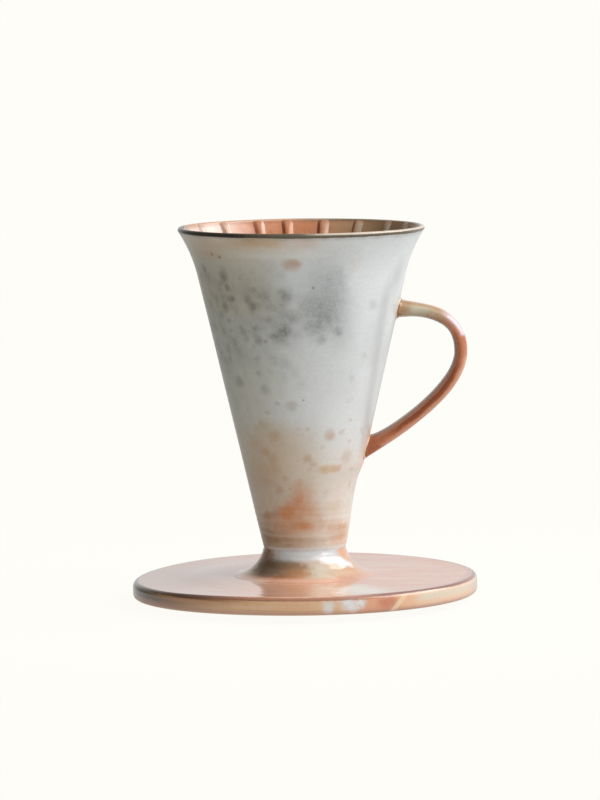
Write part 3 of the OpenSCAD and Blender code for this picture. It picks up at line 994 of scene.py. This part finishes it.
def paint_iron(g):
    """The lip band: dark iron glaze, near black in front on the left, lifted to olive further round by
    painted light, with a painted golden highlight on the handle's side, and thinned to tan and salmon
    at the back."""
    azimuth, across = g.azimuth, g.x
    speckle, soft = fine_grain(g, 31)
    runs = g.noise(3, 3, 0.6, seed=32)
    back = g.y.ramp(2, 16)
    rise = g.height - LIP_CENTRE[1]
    colour = g.layered(0x322820, [
        # Painted light lifts the glaze to olive from the front round to the back, and a painted golden
        # highlight tops the lip on the handle's side.
        (azimuth.band(-14, 140, 22) * (0.5 + runs * 0.3), 0x70644E),
        (azimuth.band(12, 90, 14) * rise.ramp(0.1, 0.6) * 0.85, 0xE0CEBC),
        (runs.ramp(0.58, 0.7) * 0.4, 0x78543A),
        (back * across.ramp(14, -6) * 0.9, 0xD6A486),
        (back * across.ramp(-2, 16) * 0.85, 0x826C52),
    ])
    colour = g.dimmed(colour, 0.85 + speckle * 0.3)
    return glaze(colour, 0.2 + soft * 0.14, g.bump(g.noise(1.6, seed=33), 0.05), 0.25, 0.1)


def plate_top(g, cloud, wisps):
    """The plate's blush top, with wisps drawn across it and a painted reflection of the pale surround on
    its left.
    """
    radius, azimuth = g.radius, g.azimuth
    cream = g.patch(23, PLATE_T, 8, 40, 0.8) * (radius + wisps * 16).band(50, 66, 7)
    return g.layered(0xDCA084, [
        (cloud.ramp(0.36, 0.66) * 0.6, 0xE0B6A0),
        (wisps.ramp(0.5, 0.72) * 0.4, 0xCE8868),
        (wisps.ramp(0.46, 0.3) * 0.4, 0xE6C2AE),
        # Painted reflection: paler, lilac grey on the left, where the top mirrors the pale surround.
        (g.x.ramp(10, -50) * 0.45, 0xD6BEB6),
        (g.patch(-6, PLATE_T, 17, 40) * 0.65, 0xECB292),
        (cream * 0.75, 0xECE8DC),
        (radius.band(PLATE_R - 3.2, PLATE_R - 1.6, 1) * azimuth.ramp(-10, 30) * 0.5, 0xB88478),
    ])


def neck_glaze(g, cloud, rag, above):
    """The neck: brown on its left, salmon at its foot, pale where the glaze pools at its top, and
    with small highlights on the right."""
    azimuth, low = g.azimuth, PLATE_T
    band = (above + (cloud - 0.5) * 2).ramp(5.4, 8.4) * azimuth.ramp(-66, -24)
    browns = g.mix(azimuth.ramp(-50, -10), 0x5E4226, 0x8E6C4A)

    def marks(rows, ragged=1.2):
        return g.cover(rows, ragged, rag)

    return g.layered(0xCEA484, [
        (cloud.ramp(0.4, 0.6) * 0.5, 0xD6BA9E),
        (marks([(14, low + 3.6, 6, 3.4, 0.8, 0.75)]), 0xD0CAB8),
        (marks([(-28, low + 1.4, 9, 1.7, 0.7, 0.8)]), 0xBA6C4A),
        (marks([(46, low + 1.6, 6, 1.8, 0.7, 0.75)]), 0xDEBA9E),
        (marks([(-46, low + 4.4, 10, 4.8, 0.6, 0.95), (-16, low + 4.4, 6, 2.4, 0.6, 0.85)]), browns),
        (marks([(-8, low + 2.8, 5, 1.6, 0.7, 0.6)]), 0xBE8860),
        (band * 0.9, 0xCED4D8),
        (marks([(66, low + 8.8, 4.2, 2.4, 0.5, 0.9)], 1), 0xD8A076),
        (marks([(-64, low + 8.8, 3.6, 2.2, 0.6, 0.55)], 1), 0x744E42),
        (g.cover([
            (20, low + 8, 2.6, 0.9, 0.7, 0.9), (38, low + 7, 3.4, 1.2, 0.7, 1),
            (54, low + 5.4, 2.6, 1.3, 0.7, 1), (66, low + 4.4, 2, 1.1, 0.7, 0.8),
        ], 0.5), 0xECEAEC),
    ])


def plate_side(g, cloud, rag):
    """The plate's side: painted shade at the left, with milky and orange marks right of the middle."""
    height, azimuth = g.height, g.azimuth
    stripe = g.turned_noise(1.3, 7, 3)
    slant = azimuth - height * 0.9 + 3.2
    right = azimuth.ramp(34, 44)

    def marks(rows, ragged=0.8):
        return g.cover(rows, ragged, rag)

    return g.layered(0xE0B288, [
        (stripe.ramp(0.42, 0.6) * 0.5, 0xE4C2A0),
        (stripe.ramp(0.52, 0.36) * azimuth.ramp(14, -20) * 0.6, 0x966A48),
        (cloud.ramp(0.45, 0.62) * 0.45, 0xDCA882),
        # Painted shade: darker towards the left end, near black at the far left.
        (azimuth.ramp(-20, -60) * 0.9, 0x705C4A),
        (azimuth.ramp(-52, -76) * 0.9, 0x302A26),
        (right * 0.8, 0xE4C2A8),
        (right * height.band(3.6, 5, 1) * 0.7, 0xD6CCB8),
        (marks([(-38, PLATE_T - 2.2, 20, 1.6, 0.7, 0.6)]), 0xBA7E52),
        (marks([(21, 3.4, 9.5, 5, 0.4, 0.9)]), 0xE0A27E),
        (marks([(28, 3.6, 4, 3, 0.7, 0.8)], 1), 0xC47A5E),
        (marks([(36, 3, 3.2, 3.6, 0.5, 0.6)]), 0xE6B292),
        ((height + rag * 0.8).ramp(2.8, 1.2) * 0.6, 0xBE8C7A),
        (slant.band(31.6, 33.2, 0.8) * 0.7, 0xECCEB0),
        (marks([
            (15, 3.4, 3.2, 2.2, 0.9, 0.95), (18.5, 4.2, 2, 1.4, 0.8, 0.5),
            (7.5, 3.2, 1.8, 1.8, 0.9, 0.8), (12, 4.6, 2, 0.8, 0.8, 0.3),
        ], 2.2), 0xE4E4E6),
    ])


def plate_edge(g, rag, above):
    """Brown where the glaze breaks over the plate's upper edge, as layers."""
    azimuth, radius = g.azimuth, g.radius
    rise = above + (rag - 0.5) * 0.5
    near_side = radius.ramp(PLATE_R - 2.2, PLATE_R - 1.5)
    return [
        (near_side * rise.band(-1.3, -0.5, 0.4) * azimuth.ramp(40, 10) * 0.75, 0x925438),
        (near_side * rise.band(-1.9, -0.6, 0.5) * azimuth.ramp(-14, -46) * 0.85, 0x3E281C),
        (near_side * rise.ramp(-1, -0.5) * azimuth.ramp(12, 30) * 0.85, 0x886462),
    ]


def paint_blush(g):
    """The neck and the plate: glossy blush glaze. It breaks to brown on edges, pools pale at the
    neck's top, and has milky and orange marks on the plate's side. The seat underneath is bare."""
    height, radius = g.height, g.radius
    speckle, soft = fine_grain(g, 41)
    cloud = g.noise(20, 3, 0.55, seed=42)
    wisps = g.noise(9, 3, 0.6, stretch=(2.4, 0.7, 1), seed=46, distort=0.6)
    rag = g.noise(2.4, 3, 0.6, seed=43)
    above = height - PLATE_T
    on_neck = (above + (rag - 0.5) * 1.4).ramp(0.3, 1.7) * radius.ramp(27, 22.5)
    on_side = radius.ramp(PLATE_R - 0.9, PLATE_R - 0.35)
    bare = (height + (rag - 0.5) * 0.5).ramp(0.55, 0.2) * radius.ramp(66, 61.5)
    clay = g.mix(cloud.ramp(0.4, 0.6), 0xCEB496, 0xC09C7A)
    colour = g.layered(plate_top(g, cloud, wisps), [
        (on_neck, neck_glaze(g, cloud, rag, above)),
        (on_side, plate_side(g, cloud, rag)),
    ] + plate_edge(g, rag, above) + [(bare, clay)])
    colour = g.dimmed(colour, 0.9 + speckle * 0.12 + soft * 0.08)
    colour = g.mix(g.spots(8, 0.16, 0.03, 0.07, 44) * 0.5, colour, 0x784A32)
    roughness = 0.06 + cloud * 0.06 + soft * 0.04 + bare * 0.6
    normal = g.bump(speckle, 0.003, g.bump(g.noise(7, rough=0.45, seed=45), 0.03))
    return glaze(colour, roughness, normal, (1 - bare) * 0.3, 0.05)


def paint_amber(g):
    """The strap: celadon and tan along the upper arm with painted shade along its underside, a painted
    lilac highlight over the outer bend, and brown below, with painted shade darkest along the middle
    of its narrow side and painted reflection paler towards both edges."""
    speckle, soft = fine_grain(g, 51)
    runs = g.noise(3.5, 3, 0.6, seed=52)
    along = g.painted("along") + (runs - 0.5) * 0.1
    side = g.painted("side") + (g.noise(5, seed=54) - 0.5) * 0.35
    arm = along.ramp(0.36, 0.46)
    bend = along.ramp(0.44, 0.53)
    # Painted shade along the middle of the lower arm.
    core_shade = along.ramp(0.5, 0.62) * along.ramp(0.95, 0.8) * side.band(-0.3, 0, 0.22)
    celadon = along.ramp(0.27, 0.13) * along.ramp(0, 0.1) * side.band(-0.8, 0.4, 0.4)
    # Painted shade along the underside of the upper arm.
    under = along.ramp(0.36, 0.28) * along.ramp(0.1, 0.2) * side.ramp(-0.3, -0.8)
    colour = g.layered(0xC47C5A, [
        # Painted shade: darker along the middle of the lower arm.
        (arm * side.band(-0.6, -0.2, 0.35) * 0.6, 0x9E562E),
        (core_shade * 0.85, 0x803A14),
        # Painted reflection: mauve grey along the inner edge, then paler along the outer edge.
        (arm * side.ramp(-0.35, -0.75) * 0.75, 0x96705E),
        (bend * side.ramp(0.12, 0.55) * 0.75, 0xD4A68E),
        (bend * side.ramp(0.7, 0.95) * 0.7, 0xBCA08E),
        (along.band(0.42, 0.5, 0.04) * side.ramp(0, 0.5) * 0.45, 0x9E5C3C),
        (along.ramp(0.4, 0.3), 0xBC8468),
        # Painted highlight: pale lilac over the outer bend.
        (along.band(0.27, 0.405, 0.04) * side.ramp(-0.1, 0.6) * 0.95, 0xDCCAD2),
        (along.ramp(0.32, 0.24) * 0.95, 0xB08E70),
        (celadon * 0.9, 0xBEB69E),
        # Painted shade under the upper arm.
        (under * 0.8, 0x967462),
        (along.ramp(0.28, 0.22) * side.ramp(0.6, 0.95) * 0.8, 0xBA926C),
        (along.ramp(0.12, 0.01) * side.band(-0.1, 0.7, 0.5) * 0.9, 0xA07A54),
        (along.ramp(0.9, 0.97) * 0.85, 0x9C5632),
        (runs.ramp(0.6, 0.75) * 0.2, 0x784228),
    ])
    colour = g.dimmed(colour, 0.9 + speckle * 0.1 + soft * 0.1)
    normal = g.bump(g.noise(3, seed=53), 0.05)
    return glaze(colour, 0.2 + soft * 0.12, normal, 0.1, 0.07, ior=1.4)


def paint_slip(g, strap_colour, seam_highlight_colour):
    """The slip round a joint: the strap's colour above, painted shade in the fillet's hollow, and a pale
    broken line where it meets the cone, a painted highlight.
    """
    speckle, soft = fine_grain(g, 61)
    runs = g.noise(2, 3, 0.6, seed=62)
    edge = g.painted("edge") + (runs - 0.5) * 0.4
    colour = g.layered(strap_colour, [
        # Painted shade in the fillet's hollow, then a painted highlight as a pale broken line at the seam.
        (edge.ramp(0.1, 0.4) * 0.7, 0x76462C),
        (edge.ramp(0.42, 0.6), seam_highlight_colour),
        (edge.ramp(0.68, 0.86), 0xCCA086),
        (runs.ramp(0.6, 0.7) * 0.4, 0x96603E),
    ])
    colour = g.dimmed(colour, 0.9 + speckle * 0.1 + soft * 0.1)
    return glaze(colour, 0.16 + soft * 0.14, g.bump(g.noise(2, seed=63), 0.08), 0.3, 0.1)


def paint_clay(g):
    """Bare fired clay: matte and sandy, with grog and small pits."""
    speckle, soft = fine_grain(g, 71)
    cloud = g.noise(9, 3, 0.6, seed=72)
    grog = g.spots(1.6, 0.4, 0.12, 0.26, 73)
    pits = g.spots(2.4, 0.35, 0.07, 0.14, 74)
    colour = g.layered(0xCEB698, [
        (cloud.ramp(0.4, 0.65) * 0.6, 0xC09A76),
        (grog * 0.5, 0xE2D2BC),
        (pits * 0.8, 0x785C44),
    ])
    colour = g.dimmed(colour, 0.85 + speckle * 0.2 + soft * 0.1)
    return glaze(colour, 0.82, g.bump(speckle + grog * 0.6 - pits * 1.2, 0.06), 0, 0, ior=1.45)


# ---- stage

PALE = 0xFEFDF8


def build_surround():
    """A surround that looks pale. Its light is bright behind and towards the front right, and dimmer
    on the left."""
    world = bpy.data.worlds.new("studio")
    bpy.context.scene.world = world
    world.use_nodes = True
    g = Graph(world.node_tree)
    direction = g.value("TexCoord", out="Generated")
    x, y, z = g.split(direction)
    behind = y.ramp(0.25, 0.75) * z.ramp(0.75, 0.2) * x.ramp(-0.85, -0.1)
    room = g.vector("DOT_PRODUCT", direction, (0.70, -0.68, 0.20), out=1).ramp(-0.15, 0.95)
    glow = 0.16 + behind * 0.6 + room * 0.72 + z.ramp(0.55, 0.95) * 0.5
    tint = g.mix(g.math("MINIMUM", room + behind, 1), (0.98, 1.0, 0.92, 1), (0.97, 0.99, 1.0, 1))
    seen = g.value("LightPath", out="Is Camera Ray")
    background = world.node_tree.nodes["Background"]
    g.put(background.inputs["Color"], g.mix(seen, g.dimmed(tint, glow), PALE))


def build_floor():
    """A pale floor that fades into the surround, and is clear from below."""
    floor_z = (RING_LOW.z - 0.06) * MM
    bpy.ops.mesh.primitive_circle_add(vertices=128, radius=1.2, fill_type="NGON", location=(0, 0, floor_z))
    floor = bpy.context.object
    floor.name = "floor"
    material = bpy.data.materials.new("pale_floor")
    material.use_nodes = True
    material.node_tree.nodes.clear()
    g = Graph(material.node_tree)
    g.locate()
    strength = 0.61 + g.value("LightPath", out="Is Camera Ray") * 0.35
    glow = g.value("Emission", {"Color": PALE, "Strength": strength})
    matte = g.value("BsdfDiffuse", {"Color": (0.05, 0.05, 0.048, 1)})
    lit = g.value("AddShader", {0: glow, 1: matte})
    clear = g.value("BsdfTransparent")
    from_below = g.value("NewGeometry", out="Backfacing")
    fade = g.math("MAXIMUM", g.radius.ramp(90, 320), from_below)
    both = g.value("MixShader", {0: fade, 1: lit, 2: clear})
    g.add("OutputMaterial", {"Surface": both})
    floor.data.materials.append(material)


def build_window():
    """A wide soft window on the handle's side."""
    data = bpy.data.lights.new("window", "AREA")
    data.shape = "RECTANGLE"
    data.size = 1.6
    data.size_y = 0.7
    data.energy = 15.0
    data.color = (0.97, 0.985, 1.0)
    window = add_object("window", data)
    centre = Vector((0, 0, LIP_Z * MM / 2))
    window.location = centre + Vector((0.787, -0.028, 0.616)) * 1.3
    window.rotation_euler = (centre - window.location).to_track_quat("-Z", "Y").to_euler()


def build_camera():
    """A long lens well back and a little above, rolled slightly, with the axis just right of centre."""
    data = bpy.data.cameras.new("camera")
    data.lens = 222.4
    data.sensor_width = 36.0
    camera = add_object("camera", data)
    place = Vector((0, -1.833, 0.2536))
    aim = Vector((0, 0, 0.0721))
    look = (aim - place).to_track_quat("-Z", "Y").to_matrix().to_4x4()
    roll = Matrix.Rotation(radians(-0.65), 4, "Z")
    camera.matrix_world = Matrix.Translation(place) @ look @ roll
    data.shift_x = -0.0038
    bpy.context.scene.camera = camera


# ---- build

def main():
    ash = new_material("ash_glaze", paint_ash)
    copper = new_material("copper_glaze", paint_copper)
    iron = new_material("iron_glaze", paint_iron)
    blush = new_material("blush_glaze", paint_blush)
    amber = new_material("amber_glaze", paint_amber)
    clay = new_material("bare_clay", paint_clay)
    upper_slip = new_material("upper_slip", lambda g: paint_slip(g, 0xB2885A, 0xE2CEB4))
    lower_slip = new_material("lower_slip", lambda g: paint_slip(g, 0xB05C34, 0xEAC8A6))
    build_cone(ash, copper)
    build_lip_band(iron)
    build_ribs(copper)
    build_drip_floor(copper)
    build_neck(blush)
    build_plate(blush)
    build_ring(clay)
    build_handle(amber)
    build_joint("upper_slip_fillet", "upper_handle_joint", upper_slip, True, 1.7, 1.9)
    build_joint("lower_slip_fillet", "lower_handle_joint", lower_slip, False, 0.9, 1.3)
    bpy.context.scene.view_settings.view_transform = "Standard"
    build_surround()
    build_floor()
    build_window()
    build_camera()


main()
